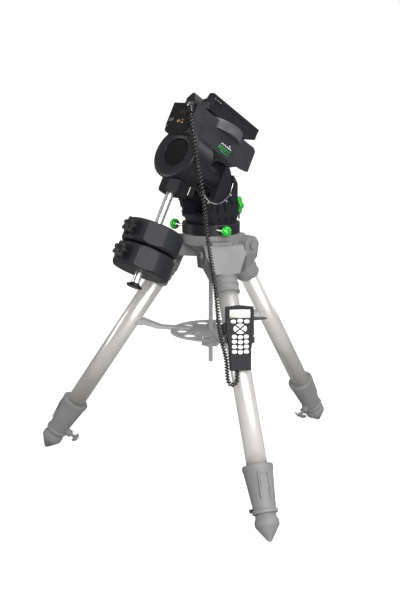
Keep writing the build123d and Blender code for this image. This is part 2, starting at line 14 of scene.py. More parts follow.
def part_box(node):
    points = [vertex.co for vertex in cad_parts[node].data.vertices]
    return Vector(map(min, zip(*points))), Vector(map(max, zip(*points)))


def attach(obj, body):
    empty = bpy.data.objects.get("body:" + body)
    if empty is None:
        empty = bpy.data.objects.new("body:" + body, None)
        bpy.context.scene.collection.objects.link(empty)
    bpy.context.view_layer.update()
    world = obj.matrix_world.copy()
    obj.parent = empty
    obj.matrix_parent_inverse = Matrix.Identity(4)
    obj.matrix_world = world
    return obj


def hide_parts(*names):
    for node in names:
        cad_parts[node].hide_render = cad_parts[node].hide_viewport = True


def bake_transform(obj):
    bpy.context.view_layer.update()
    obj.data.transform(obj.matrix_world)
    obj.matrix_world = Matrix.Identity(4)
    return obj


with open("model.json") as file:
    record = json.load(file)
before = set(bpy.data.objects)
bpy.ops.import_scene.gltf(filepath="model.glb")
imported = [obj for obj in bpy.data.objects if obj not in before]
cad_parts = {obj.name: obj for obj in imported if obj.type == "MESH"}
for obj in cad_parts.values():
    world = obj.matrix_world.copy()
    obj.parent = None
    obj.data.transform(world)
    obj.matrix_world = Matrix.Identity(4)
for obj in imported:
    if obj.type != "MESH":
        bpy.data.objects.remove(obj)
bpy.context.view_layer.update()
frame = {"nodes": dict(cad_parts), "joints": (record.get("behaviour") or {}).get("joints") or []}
JOINTS = {j["name"]: j for j in frame["joints"]}
NODES = frame["nodes"]
LEGS = ("rear", "left", "right")
MM = 0.001
LOCK_IN = 60.0  # from a leg's axis inward to its lock's joint
LOCK_S = 88.0  # from the foot's tip up along the leg to the lock's axis


# ---------------------------------------------------------------- local frames
def local_frame(origin, x_axis, z_axis):
    """Matrix from millimetres in a local frame to metres in the shared frame."""
    z = Vector(z_axis).normalized()
    x = Vector(x_axis)
    x = (x - x.dot(z) * z).normalized()
    y = z.cross(x)
    turn = Matrix((x, y, z)).transposed().to_4x4()
    return Matrix.Translation(origin) @ turn @ Matrix.Scale(MM, 4)


def leg_frame(name):
    """Origin at the foot's tip, z up along the leg, x outward, from the leg's own joints."""
    up = -Vector(JOINTS[f"{name}_leg_extend"]["axis"])
    out = Vector(JOINTS[f"{name}_lock_turn"]["axis"])
    origin = Vector(JOINTS[f"{name}_lock_turn"]["pos_m"])
    return local_frame(origin + (LOCK_IN * out - LOCK_S * up) * MM, out, up)


WORLD = Matrix.Scale(MM, 4)
HEAD = local_frame(JOINTS["right_ascension"]["pos_m"], (1, 0, 0), JOINTS["declination"]["axis"])
ALTITUDE_AXIS = Vector(JOINTS["altitude"]["pos_m"]) / MM
SADDLE_AT = HEAD.inverted() @ Vector(JOINTS["declination"]["pos_m"])
HANDSET_FACE = -Vector(JOINTS["arrow_key_press"]["axis"])
HANDSET_AT = (0.2595, -0.163, 0.471)  # middle of the handset, in metres
HANDSET = local_frame(HANDSET_AT, (-HANDSET_FACE.y, HANDSET_FACE.x, 0), HANDSET_FACE)


# ---------------------------------------------------------------- mesh building
def lathe(bm, outline, at=Matrix.Identity(4), steps=64, teeth=0, depth=0.0):
    """Turns an (r, z) outline round z; rows marked by a third value get that many teeth."""
    count = teeth * 4 if teeth else steps
    rings = []
    for row in outline:
        toothed = len(row) > 2
        ring = []
        for i in range(count):
            turn = 2 * math.pi * i / count
            r = row[0] - (depth if toothed and i % 4 > 1 else 0.0)
            ring.append(bm.verts.new(at @ Vector((r * math.cos(turn), r * math.sin(turn), row[1]))))
        rings.append(ring)
    for low, high in zip(rings, rings[1:]):
        for i in range(count):
            j = (i + 1) % count
            bm.faces.new((low[i], low[j], high[j], high[i]))
    bm.faces.new(list(reversed(rings[0])))
    bm.faces.new(rings[-1])


def hollow_lathe(bm, outline, at=Matrix.Identity(4), steps=64, start=0.0, end=360.0):
    """Turns a closed (r, z) outline into a ring, or into part of one with capped ends."""
    whole = end - start >= 360
    count = steps if whole else steps + 1
    rings = []
    for i in range(count):
        turn = math.radians(start + (end - start) * i / steps)
        at_turn = [(r * math.cos(turn), r * math.sin(turn), z) for r, z in outline]
        rings.append([bm.verts.new(at @ Vector(p)) for p in at_turn])
    for k in range(count if whole else count - 1):
        here, there = rings[k], rings[(k + 1) % count]
        for i in range(len(outline)):
            j = (i + 1) % len(outline)
            bm.faces.new((here[i], here[j], there[j], there[i]))
    if not whole:
        bm.faces.new(list(reversed(rings[0])))
        bm.faces.new(rings[-1])


def prism(bm, outline, low, high, at=Matrix.Identity(4)):
    """Extrudes an (x, y) outline from low to high."""
    bottom = [bm.verts.new(at @ Vector((x, y, low))) for x, y in outline]
    top = [bm.verts.new(at @ Vector((x, y, high))) for x, y in outline]
    for i in range(len(outline)):
        j = (i + 1) % len(outline)
        bm.faces.new((bottom[i], bottom[j], top[j], top[i]))
    bm.faces.new(list(reversed(bottom)))
    bm.faces.new(top)


def slab(bm, centre, size, at=Matrix.Identity(4)):
    """A rectangular bar; its piece's bevel rounds it."""
    half_x, half_y = size[0] / 2, size[1] / 2
    outline = [(-half_x, -half_y), (half_x, -half_y), (half_x, half_y), (-half_x, half_y)]
    prism(bm, outline, -size[2] / 2, size[2] / 2, at @ Matrix.Translation(centre))


def rounded(wide, high, corner, steps=5):
    """Outline of a rectangle with round corners."""
    points = []
    for k, (sx, sy) in enumerate(((1, 1), (-1, 1), (-1, -1), (1, -1))):
        for i in range(steps + 1):
            turn = math.radians(90 * k + 90 * i / steps)
            x = sx * (wide / 2 - corner) + corner * math.cos(turn)
            points.append((x, sy * (high / 2 - corner) + corner * math.sin(turn)))
    return points


def lobed(radius, depth, lobes, steps=12):
    """Outline of a knob with round lobes and hollows between them."""
    points = []
    for i in range(lobes * steps):
        turn = 2 * math.pi * i / (lobes * steps)
        wave = 0.5 + 0.5 * math.cos(lobes * turn)
        reach = radius - depth * (1 - wave**0.6)
        points.append((reach * math.cos(turn), reach * math.sin(turn)))
    return points


def tube(bm, points, radius, sides=8):
    """A round bar along points, with closed ends."""
    rings = []
    normal = None
    for i, p in enumerate(points):
        along = (points[min(i + 1, len(points) - 1)] - points[max(i - 1, 0)]).normalized()
        if normal is None:
            normal = along.orthogonal()
        normal = (normal - normal.dot(along) * along).normalized()
        other = along.cross(normal)
        ring = []
        for k in range(sides):
            turn = 2 * math.pi * k / sides
            ring.append(bm.verts.new(p + radius * (math.cos(turn) * normal + math.sin(turn) * other)))
        rings.append(ring)
    for low, high in zip(rings, rings[1:]):
        for i in range(sides):
            j = (i + 1) % sides
            bm.faces.new((low[i], low[j], high[j], high[i]))
    bm.faces.new(list(reversed(rings[0])))
    bm.faces.new(rings[-1])


def soften(piece, width, angle=30.0, segments=2):
    """Rounds a piece's edges and gives it even shading."""
    bevel = piece.modifiers.new("edges", "BEVEL")
    bevel.width = width * MM
    bevel.segments = segments
    bevel.limit_method = "ANGLE"
    bevel.angle_limit = math.radians(angle)
    bevel.use_clamp_overlap = True
    shade = piece.modifiers.new("shading", "WEIGHTED_NORMAL")
    shade.keep_sharp = False


def add_piece(name, bm, matrix, body, material, edge=0.4):
    """Makes an object of a mesh built in a local frame; it rides on a body."""
    bmesh.ops.recalc_face_normals(bm, faces=bm.faces)
    mesh = bpy.data.meshes.new(name)
    bm.to_mesh(mesh)
    bm.free()
    mesh.transform(matrix)
    for face in mesh.polygons:
        face.use_smooth = True
    piece = bpy.data.objects.new(name, mesh)
    bpy.context.scene.collection.objects.link(piece)
    mesh.materials.append(material)
    if edge:
        soften(piece, edge)
    if body:
        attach(piece, body)
    return piece


# ---------------------------------------------------------------- materials
def new_material(name):
    """A material with its nodes, links and shader."""
    material = bpy.data.materials.new(name)
    material.use_nodes = True
    nodes = material.node_tree.nodes
    return material, nodes, material.node_tree.links, nodes["Principled BSDF"]


def noise(nodes, links, coords, size, detail=4.0, stretch=(1, 1, 1)):
    """Noise whose grains are about size millimetres wide."""
    mapping = nodes.new("ShaderNodeMapping")
    mapping.inputs["Scale"].default_value = stretch
    links.new(coords, mapping.inputs["Vector"])
    texture = nodes.new("ShaderNodeTexNoise")
    texture.inputs["Scale"].default_value = 1 / (size * MM)
    texture.inputs["Detail"].default_value = detail
    links.new(mapping.outputs["Vector"], texture.inputs["Vector"])
    return texture.outputs["Fac"]


def ramp(nodes, links, value, low, high, start=0.35, end=0.65):
    """Maps a noise value to a range of colours."""
    node = nodes.new("ShaderNodeValToRGB")
    node.color_ramp.elements[0].position = start
    node.color_ramp.elements[1].position = end
    node.color_ramp.elements[0].color = low
    node.color_ramp.elements[1].color = high
    links.new(value, node.inputs["Fac"])
    return node.outputs["Color"]


def grey(value):
    """A grey as a colour with full alpha."""
    return (value, value, value, 1.0)


def tint(colour, share):
    """A colour made lighter or darker, with full alpha."""
    return tuple(min(1.0, c * share) for c in colour) + (1.0,)


def surface(name, colour, rough, metallic=0.0, grain=0.5, bump=0.1, patch=40.0, vary=0.12, coat=0.0,
            stretch=(1, 1, 1), spread=0.06, specular=0.5):
    """A finish with fine grain in its relief, and slow changes in its colour and gloss."""
    material, nodes, links, shader = new_material(name)
    coords = nodes.new("ShaderNodeTexCoord").outputs["Object"]
    slow = noise(nodes, links, coords, patch, 6.0, stretch)
    fine = noise(nodes, links, coords, grain, 3.0, stretch)
    tone = ramp(nodes, links, slow, tint(colour, 1 - vary), tint(colour, 1 + vary))
    gloss = ramp(nodes, links, fine, grey(rough - spread), grey(rough + spread))
    links.new(tone, shader.inputs["Base Color"])
    links.new(gloss, shader.inputs["Roughness"])
    relief = nodes.new("ShaderNodeBump")
    relief.inputs["Strength"].default_value = bump
    relief.inputs["Distance"].default_value = 0.1 * MM
    links.new(fine, relief.inputs["Height"])
    links.new(relief.outputs["Normal"], shader.inputs["Normal"])
    shader.inputs["Metallic"].default_value = metallic
    shader.inputs["Coat Weight"].default_value = coat
    shader.inputs["Specular IOR Level"].default_value = specular
    return material


BLACK = surface("black_coat", (0.0125, 0.0125, 0.0155), 0.36, grain=0.7, bump=0.35, vary=0.12, specular=0.3)
BLACK_PLATE = surface("black_plate", (0.006, 0.006, 0.007), 0.34, grain=0.3, bump=0.15, specular=0.3)
MATT_BLACK = surface("matt_black", (0.009, 0.009, 0.011), 0.6, grain=0.7, bump=0.35, specular=0.2)
BOX_BLACK = surface("box_coat", (0.027, 0.027, 0.032), 0.42, grain=0.6, bump=0.3, specular=0.35)
RING_GREY = surface("ring_charcoal", (0.085, 0.085, 0.09), 0.4, metallic=0.3, grain=0.3, bump=0.1)
IRON = surface("weight_paint", (0.014, 0.0148, 0.0178), 0.55, grain=1.2, bump=0.5, vary=0.18, specular=0.3)
MACHINED = surface("machined_edge", (0.62, 0.62, 0.6), 0.24, metallic=1.0, grain=0.25, bump=0.1)
STEEL = surface("screw_steel", (0.55, 0.55, 0.54), 0.27, metallic=1.0, grain=0.3, bump=0.1)
CHROME = surface("chrome", (0.9, 0.9, 0.91), 0.24, metallic=0.9, grain=0.4, bump=0.0, vary=0.03, spread=0.02)
TUBE = surface("polished_tube", (0.8, 0.78, 0.75), 0.33, metallic=0.6, grain=0.35, bump=0.05, vary=0.02,
               spread=0.03)
CASTING = surface("grey_casting", (0.2, 0.2, 0.198), 0.6, grain=0.9, bump=0.35, vary=0.05)
# Lighter grey than the castings for the tray, its nut and the centre rod: painted light for the light they
# lack in the shadow under the head.
TRAY_PAINTED_LIGHT = surface("tray_painted_light", (0.42, 0.42, 0.418), 0.6, grain=0.9, bump=0.3, vary=0.05)
GREEN = surface("green_anodised", (0.045, 0.5, 0.05), 0.26, metallic=0.45, grain=0.25, bump=0.06, vary=0.06)
PLASTIC = surface("black_plastic", (0.008, 0.008, 0.009), 0.4, grain=0.6, bump=0.2, specular=0.3)
CORD = surface("cord_rubber", (0.01, 0.01, 0.011), 0.24, grain=0.5, bump=0.03, spread=0.03, coat=0.5)
CASE = surface("handset_case", (0.014, 0.0145, 0.017), 0.6, grain=0.35, bump=0.3, specular=0.25)
KEY = surface("key_white", (0.82, 0.84, 0.84), 0.34, grain=0.4, bump=0.05, vary=0.03)
GLASS = surface("screen_window", (0.86, 0.88, 0.86), 0.3, grain=0.5, bump=0.0, vary=0.04, coat=0.6)
# Darker black than the coat: painted shade in the drum's dish and in the slot openings of the fork.
PAINTED_SHADE = surface("recess_painted_shade", (0.004, 0.004, 0.005), 0.5, grain=0.5, bump=0.15, specular=0.15)
BRONZE = surface("bronze", (0.5, 0.33, 0.12), 0.3, metallic=1.0)
BRASS = surface("socket_brass", (0.72, 0.55, 0.24), 0.25, metallic=1.0)
DARK = surface("dark_recess", (0.006, 0.006, 0.007), 0.6)
WHITE_MARK = surface("white_mark", (0.75, 0.75, 0.75), 0.5)
GREEN_MARK = surface("green_mark", (0.03, 0.42, 0.08), 0.5)
YELLOW_MARK = surface("yellow_mark", (0.55, 0.5, 0.08), 0.4)
INK = surface("key_ink", (0.03, 0.03, 0.035), 0.5)

LEG_CASTINGS = [f"{leg}_{part}" for leg in LEGS for part in ("leg_top", "leg_clamp", "lower_leg")]
LEG_TUBES = [f"{leg}_leg_tube" for leg in LEGS]
LEG_LOCKS = [f"{leg}_leg_lock" for leg in LEGS]
NODE_FINISH = (
    (CASTING, 0.9, ["tripod_hub"] + LEG_CASTINGS),
    (TRAY_PAINTED_LIGHT, 0.9, ["tray", "tray_nut", "centre_rod"]),
    (CASTING, 0.5, ["hinge_bolts"] + LEG_LOCKS),
    (STEEL, 0.5, ["ra_shaft", "ra_worm", "dec_shaft", "fork_screws", "ra_bearings", "dec_bearing"]),
    (TUBE, 0.0, LEG_TUBES),
    (BLACK, 0.7, ["base_ring", "ra_housing", "ra_drum", "ra_cover", "azimuth_plate"]),
    (BLACK, 0.9, ["fork"]),
    (BOX_BLACK, 1.0, ["dec_box"]),
    (BLACK, 0.5, ["saddle_base", "saddle_jaw"]),
    (BLACK_PLATE, 0.5, ["port_panel"]),
    (MATT_BLACK, 0.9, ["cw_block"]),
    (RING_GREY, 0.4, ["dec_ring"]),
    (GREEN, 0.6, ["azimuth_knob_right", "azimuth_knob_left", "altitude_knob", "saddle_knob_front",
                  "saddle_knob_rear"]),
    (CHROME, 0.0, ["cw_shaft"]),
    (BRONZE, 0.4, ["ra_worm_wheel", "dec_worm_wheel"]),
    (DARK, 0.0, ["panel_sockets"]),
    (IRON, 0.9, ["upper_weight", "lower_weight"]),
    (PLASTIC, 0.8, ["upper_weight_knob", "lower_weight_knob", "handset_holder", "end_washer", "polar_cap"]),
    (CORD, 0.5, ["cord_plug", "handset_cord"]),
    (CASE, 1.0, ["handset_case"]),
    (GLASS, 0.0, ["handset_screen"]),
    (KEY, 0.3, ["handset_arrow_keys", "handset_digit_keys"]),
)


def finish_nodes():
    """Gives each CAD node its material, and a fine round on its edges."""
    for material, edge, names in NODE_FINISH:
        for name in names:
            node = NODES[name]
            node.data.materials.clear()
            node.data.materials.append(material)
            for face in node.data.polygons:
                face.use_smooth = True
            weld = node.modifiers.new("weld", "WELD")
            weld.merge_threshold = 0.001 * MM
            flat = node.modifiers.new("flat", "DECIMATE")
            flat.decimate_type = "DISSOLVE"
            flat.angle_limit = math.radians(0.4)
            if edge:
                soften(node, edge)


# ---------------------------------------------------------------- coiled cord
CORD_ROUTE = (
    (44.3, -124.4, 1039.2),
    (56.0, -134.5, 1021.7),
    (70.0, -142.5, 990.0),
    (80.0, -145.0, 948.0),
    (86.0, -140.0, 894.0),
    (98.0, -133.0, 824.0),
    (109.0, -134.0, 752.0),
    (125.0, -140.5, 694.0),
    (149.0, -149.5, 634.0),
    (176.0, -162.5, 562.0),
    (205.0, -184.0, 478.0),
    (235.6, -188.1, 416.0),
    (241.5, -192.3, 378.0),
    (249.0, -195.0, 354.0),
    (262.0, -192.5, 347.0),
    (269.5, -184.5, 357.0),
    (268.9, -182.2, 368.0),
    (265.8, -179.5, 387.4),
)
CORD_R = 6.5  # outside radius of the coil
WIRE_R = 2.3
PITCH_TOP = 9.5
PITCH_LOW = 7.6
PITCH_FROM = 0.25  # share of the cord where the coil starts to close up
PITCH_OVER = 0.3  # share of the cord over which it does
TURN_STEPS = 16  # points of the wire in each turn
ROUTE_STEP = 0.25  # spacing of the route points that the wire is wound round
# height where a stretch of cord ends, and the two bodies at its ends; only the last stretch rides on one
CORD_STRETCHES = (
    (0.905, "equatorial_body", "polar_body"),
    (0.805, "polar_body", "azimuth_body"),
    (0.705, "azimuth_body", "root"),
    (0.505, "root", "right_leg"),
    (-1.0, "right_leg", None),
)


def route_line():
    """Points along the cord's smooth centreline, in millimetres."""
    curve = bpy.data.curves.new("cord_route", "CURVE")
    curve.dimensions = "3D"
    curve.resolution_u = 24
    spline = curve.splines.new("NURBS")
    spline.points.add(len(CORD_ROUTE) - 1)
    for point, place in zip(spline.points, CORD_ROUTE):
        point.co = Vector(place).to_4d()
    spline.order_u = 3
    spline.use_endpoint_u = True
    guide = bpy.data.objects.new("cord_route", curve)
    mesh = bpy.data.meshes.new_from_object(guide)
    line = [v.co.copy() for v in mesh.vertices]
    bpy.data.objects.remove(guide)
    bpy.data.meshes.remove(mesh)
    return line


def even_points(line, step):
    """Points at equal steps along a line."""
    points = [line[0]]
    spare = 0.0
    for here, there in zip(line, line[1:]):
        run = (there - here).length
        reach = step - spare
        while reach <= run:
            points.append(here.lerp(there, reach / run))
            reach += step
        spare = run - (reach - step)
    return points


def helix(line):
    """The wire's centreline, wound round the route, with the route point of each of its points."""
    points = even_points(line, ROUTE_STEP)
    normal = (points[1] - points[0]).orthogonal()
    turn = 0.0
    wire, route = [], []
    since = 0.0
    for i in range(1, len(points) - 1):
        along = (points[i + 1] - points[i - 1]).normalized()
        normal = (normal - normal.dot(along) * along).normalized()
        closed = min(1.0, max(0.0, (i / len(points) - PITCH_FROM) / PITCH_OVER))
        pitch = PITCH_TOP + (PITCH_LOW - PITCH_TOP) * closed
        turn += 2 * math.pi * ROUTE_STEP / pitch
        since += ROUTE_STEP
        if since < pitch / TURN_STEPS:
            continue
        since = 0.0
        out = math.cos(turn) * normal + math.sin(turn) * along.cross(normal)
        wire.append(points[i] + (CORD_R - WIRE_R) * out)
        route.append(points[i])
    return wire, route


def make_cord():
    """The coiled cord in stretches; the last rides on the right leg, and the others stay fixed in the shared
    frame.
    """
    wire, route = helix(route_line())
    first = 0
    for count, (low, upper, lower) in enumerate(CORD_STRETCHES):
        last = first
        while last < len(route) - 1 and route[last].z * MM > low:
            last += 1
        if lower is None:
            last = len(route) - 1
        bm = bmesh.new()
        tube(bm, wire[first:last + 1], WIRE_R)
        piece = add_piece(f"cord_stretch_{count}", bm, WORLD, None, CORD, edge=0)
        if lower:
            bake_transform(piece)
        else:
            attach(piece, upper)
        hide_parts("handset_cord")
        first = last


# ---------------------------------------------------------------- fine detail
PANEL_Q = -67.0  # front face of the port panel
BOX_SIDE = 50.05  # just outside the side of the declination drive's housing
THIN = 0.2  # thickness of a printed mark
COVER_T = 6.0  # thickness of the drum's cover
DISH_R = 41.0  # radius of the dish in it
CRADLE_R = 62.0
CRADLE_LEANS = (-62, -34, 30, 50)  # cap screws round a cradle, in degrees from straight below it
KNOB_HIGH = 18.3  # height of a round clamp knob
STAR_HIGH = 18  # from the altitude knob's seat to its end
# place along the polar axis and across it, length and height of each green line on the housing
MARK_LINES = ((84, 73, 54, 2.2), (82, 67.5, 50, 1.6), (88, 62, 40, 1.2))


def face_frame(at, normal, x_axis):
    """A part's own frame on a face: z out of it, x along it; everything stays in millimetres."""
    z = Vector(normal).normalized()
    x = Vector(x_axis).normalized()
    turn = Matrix((x, z.cross(x), z)).transposed().to_4x4()
    return Matrix.Translation(at) @ turn


def cap_screw(bm, at, radius, height):
    """Socket-head screw standing on a face, with its sunk socket."""
    rim = [(radius, 0), (radius, 0.8 * height), (0.88 * radius, height), (0.5 * radius, height)]
    socket = [(0.5 * radius, 0.35 * height), (0.02, 0.35 * height), (0.02, 0)]
    hollow_lathe(bm, rim + socket, at, steps=24)


def box_mm(node):
    """Lowest and highest corner of a CAD node in the shared frame, in millimetres."""
    low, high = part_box(node)
    return low / MM, high / MM


def head_box(node):
    """Lowest and highest corner of a CAD node in the head's own frame."""
    places = [HEAD.inverted() @ v.co for v in NODES[node].data.vertices]
    return (Vector([pick(p[i] for p in places) for i in range(3)]) for pick in (min, max))


def fork_details():
    """Machined rim of the right cradle, the cap screws round both, and dark bars of painted shade in each
    slot below.
    """
    low, high = box_mm("fork")
    arm = high.x
    heads = bmesh.new()
    plates = {side: face_frame((side * arm, ALTITUDE_AXIS.y, ALTITUDE_AXIS.z), (side, 0, 0), (0, 0, -1))
              for side in (-1, 1)}
    out = CRADLE_R + 6
    for side, plate in plates.items():
        for lean in CRADLE_LEANS:
            turn = math.radians(side * lean)
            spot = Matrix.Translation((out * math.cos(turn), out * math.sin(turn), 0))
            cap_screw(heads, plate @ spot, 3.4, 3.0)
    rim = bmesh.new()
    outline = [(CRADLE_R, -0.4), (CRADLE_R, 0.35), (CRADLE_R + 2.6, 0.35), (CRADLE_R + 2.6, -0.4)]
    hollow_lathe(rim, outline, plates[1], steps=60, start=-68, end=80)
    add_piece("cradle_rim", rim, WORLD, "azimuth_body", MACHINED, edge=0)
    piece = add_piece("cradle_screws", heads, WORLD, "azimuth_body", STEEL, edge=0.2)
    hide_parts("fork_screws")
    # Dark bars on the fork's outer face: painted shade standing in for the shade inside each slot.
    slot_shade = [((arm, high.y - 22 - 27.7 * k, low.z + 17 + k % 2), (0.3, 6.5, 19)) for k in range(4)]
    marks("fork_slot_shade", slot_shade, WORLD, "azimuth_body", PAINTED_SHADE)


def round_knob(name, at, axis, screw_size, body, node):
    """Green clamp knob: fluted skirt, domed face and steel screw; z runs from its screw outwards.

    screw_size is the length and the radius of the screw.
    """
    length, radius = screw_size
    place = face_frame(at, axis, (0, 1, 0))
    bm = bmesh.new()
    skirt = [(11, 0), (13.5, 0.4), (15, 2, "t"), (15, 10, "t"), (14.4, 11)]
    dome = [(13.6, 11.4), (13.2, 12.6), (11.5, 15), (8, 17), (4, 18), (0.1, KNOB_HIGH)]
    lathe(bm, skirt + dome, place, teeth=16, depth=1.0)
    knob = add_piece(name, bm, WORLD, body, GREEN, edge=0)
    soften(knob, 0.3, angle=40)
    bm = bmesh.new()
    lathe(bm, [(radius, -length), (radius, -7), (8, -6.6), (8, 0.2)], place, steps=32)
    screw = add_piece(name + "_screw", bm, WORLD, body, STEEL, edge=0.2)
    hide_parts(node)
    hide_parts(node)


def azimuth_knobs():
    """Clamp knobs of the two azimuth screws."""
    for side, name in ((1, "right"), (-1, "left")):
        low, high = box_mm(f"azimuth_knob_{name}")
        outer = high.x if side > 0 else low.x
        inner = low.x if side > 0 else high.x
        at = (outer - side * KNOB_HIGH, (low.y + high.y) / 2, (low.z + high.z) / 2)
        length = abs(outer - inner) - KNOB_HIGH
        round_knob(f"azimuth_hand_{name}", at, (side, 0, 0), (length, 4), f"azimuth_screw_{name}",
                   f"azimuth_knob_{name}")


def saddle_knobs():
    """Clamp knobs of the saddle's jaw."""
    for name in ("front", "rear"):
        low, high = box_mm(f"saddle_knob_{name}")
        middle = (low + high) / 2
        at = (low.x + KNOB_HIGH, middle.y, middle.z)
        length = high.x - low.x - KNOB_HIGH
        round_knob(f"saddle_hand_{name}", at, (-1, 0, 0), (length, 5), f"jaw_knob_{name}",
                   f"saddle_knob_{name}")


def altitude_star():
    """Star knob of the altitude screw: seven round lobes, a hub cap and its screw."""
    low, high = box_mm("altitude_knob")
    place = face_frame((0, high.y - STAR_HIGH, (low.z + high.z) / 2), (0, 1, 0), (1, 0, 0))
    tip = low.y - high.y + STAR_HIGH
    bm = bmesh.new()
    prism(bm, lobed(30, 5.5, 7), 0, 16, place)
    lathe(bm, [(15, 14), (15, 17), (13.5, 18.5), (6, 19.2), (0.1, 19.2)], place, steps=40)
    lathe(bm, [(13, -8), (14, -7), (14, 1)], place, steps=40)
    star = add_piece("altitude_star", bm, WORLD, "altitude_screw", GREEN, edge=0)
    soften(star, 2.4, angle=50, segments=4)
    bm = bmesh.new()
    lathe(bm, [(5, tip), (6, tip + 1), (6, -7)], place, steps=32)
    screw = add_piece("altitude_screw_shank", bm, WORLD, "altitude_screw", STEEL, edge=0.2)
    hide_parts("altitude_knob")
    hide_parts("altitude_knob")


def weight_knobs():
    """Lock knobs of the counterweights: seven lobes round a sunk hub with a cap."""
    for name in ("upper", "lower"):
        node = f"{name}_weight_knob"
        body = f"{name}_weight_lock"
        spot = HEAD.inverted() @ Vector(JOINTS[f"{name}_weight_lock_turn"]["pos_m"])
        place = face_frame(spot, (0, -1, 0), (1, 0, 0))
        bm = bmesh.new()
        prism(bm, lobed(24.0, 7.0, 7), 0, 13, place)
        lathe(bm, [(11, -6), (11.5, -5), (11.5, 1)], place, steps=40)
        knob = add_piece(f"{name}_lock_knob", bm, HEAD, body, PLASTIC, edge=0)
        soften(knob, 1.8, angle=50, segments=4)
        bm = bmesh.new()
        lathe(bm, [(12, 11), (12, 13.6), (10.2, 14.2), (9.4, 13), (8.6, 14.6), (5, 15.8), (0.1, 16)], place)
        cap = add_piece(f"{name}_lock_cap", bm, HEAD, body, PLASTIC, edge=0.2)
        bm = bmesh.new()
        lathe(bm, [(6, -73), (6, -5.5)], place, steps=24)
        screw = add_piece(f"{name}_lock_screw", bm, HEAD, body, STEEL, edge=0.2)
        for piece in (knob, cap, screw):
            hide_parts(node)


def weight_shaft():
    """Polished shaft of the counterweights, with its chamfered ends."""
    low, high = head_box("cw_shaft")
    radius = high.x
    bm = bmesh.new()
    ends = [(radius - 1, low.z), (radius, low.z + 1), (radius, high.z - 1), (radius - 1, high.z)]
    lathe(bm, ends, steps=96)
    shaft = add_piece("weight_shaft", bm, HEAD, "equatorial_body", CHROME, edge=0)
    soften(shaft, 0.2)
    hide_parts("cw_shaft")


def drum_cover():
    """Cover on the drum's front: a round-edged ring that falls away to a dish, coloured a darker black as
    painted shade.
    """
    low, _ = head_box("ra_cover")
    place = face_frame((0, low.y + COVER_T, 0), (0, -1, 0), (1, 0, 0))
    ring = [(75, 0), (75, 2.2), (73.6, 4.4), (70.5, 5.7), (66, 6), (50, 5.8), (45, 5.1), (DISH_R, 3.4)]
    bm = bmesh.new()
    lathe(bm, ring + [(DISH_R - 1, 0.2)], place, steps=120)
    cover = add_piece("drum_cover", bm, HEAD, "equatorial_body", BLACK, edge=0)
    bm = bmesh.new()
    # The dish gets the darker black of painted shade.
    lathe(bm, [(DISH_R + 0.6, 0.3), (DISH_R, 3.4), (36, 2.0), (24, 1.2), (0.1, 0.9)], place, steps=96)
    dish = add_piece("drum_dish", bm, HEAD, "equatorial_body", PAINTED_SHADE, edge=0)
    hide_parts("ra_cover")
    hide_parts("ra_cover")


def declination_ring():
    """Round head under the saddle, with a fine-knurled band between two plain ones."""
    place = Matrix.Translation((0, SADDLE_AT.y, 0))
    low, high, radius = 109.0, 138.0, 73.5
    bm = bmesh.new()
    bands = [(radius - 4, low), (radius - 0.6, low + 0.6), (radius, low + 1.6), (radius, low + 4)]
    knurl = [(radius - 0.5, low + 4.5, "t"), (radius - 0.1, low + 5, "t"), (radius - 0.1, high - 8, "t")]
    top = [(radius - 0.5, high - 7.5), (radius, high - 7), (radius, high - 1.5), (radius - 1.2, high)]
    lathe(bm, bands + knurl + top, place, teeth=110, depth=0.7)
    ring = add_piece("declination_ring", bm, HEAD, "dec_body", RING_GREY, edge=0.2)
    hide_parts("dec_ring")


def marks(name, bars, matrix, body, material):
    """Thin bars of print, dark joints or painted shade: centre and size of each."""
    bm = bmesh.new()
    for centre, size in bars:
        slab(bm, centre, size)
    return add_piece(name, bm, matrix, body, material, edge=0)


def box_details():
    """Seam, generic marks and screws on the declination drive's housing and port panel."""
    seam = [((BOX_SIDE, -27, 88), (THIN, 1.6, 84)), ((BOX_SIDE, 196, 92), (THIN, 0.9, 66))]
    marks("housing_seams", seam, HEAD, "equatorial_body", DARK)
    tall = [((BOX_SIDE, 66 + 5.2 * i, 81 + 1.5 * (i % 2)), (THIN, 3.4, 4)) for i in range(9)]
    tall.append(((BOX_SIDE, 100, 88), (THIN, 3, 6)))
    marks("housing_marks", tall, HEAD, "equatorial_body", WHITE_MARK)
    lines = [((BOX_SIDE, q, u), (THIN, long, high)) for q, u, long, high in MARK_LINES]
    marks("housing_lines", lines, HEAD, "equatorial_body", GREEN_MARK)
    front = PANEL_Q - 0.05
    plate = [((-37 + 2.6 * i, front, 78 + 3 * (i % 3)), (1.6, THIN, 2)) for i in range(6)]
    plate += [((-38, front, 62), (5, THIN, 1.2)), ((14, front, 74), (8, THIN, 1.2))]
    marks("panel_marks", plate, HEAD, "equatorial_body", WHITE_MARK)
    heads = bmesh.new()
    for x, u in ((-38, 125), (38, 58), (-24, 58), (38, 126)):
        cap_screw(heads, face_frame((x, PANEL_Q, u), (0, -1, 0), (1, 0, 0)), 2.2, 1.4)
    add_piece("panel_screws", heads, HEAD, "equatorial_body", PLASTIC, edge=0.1)


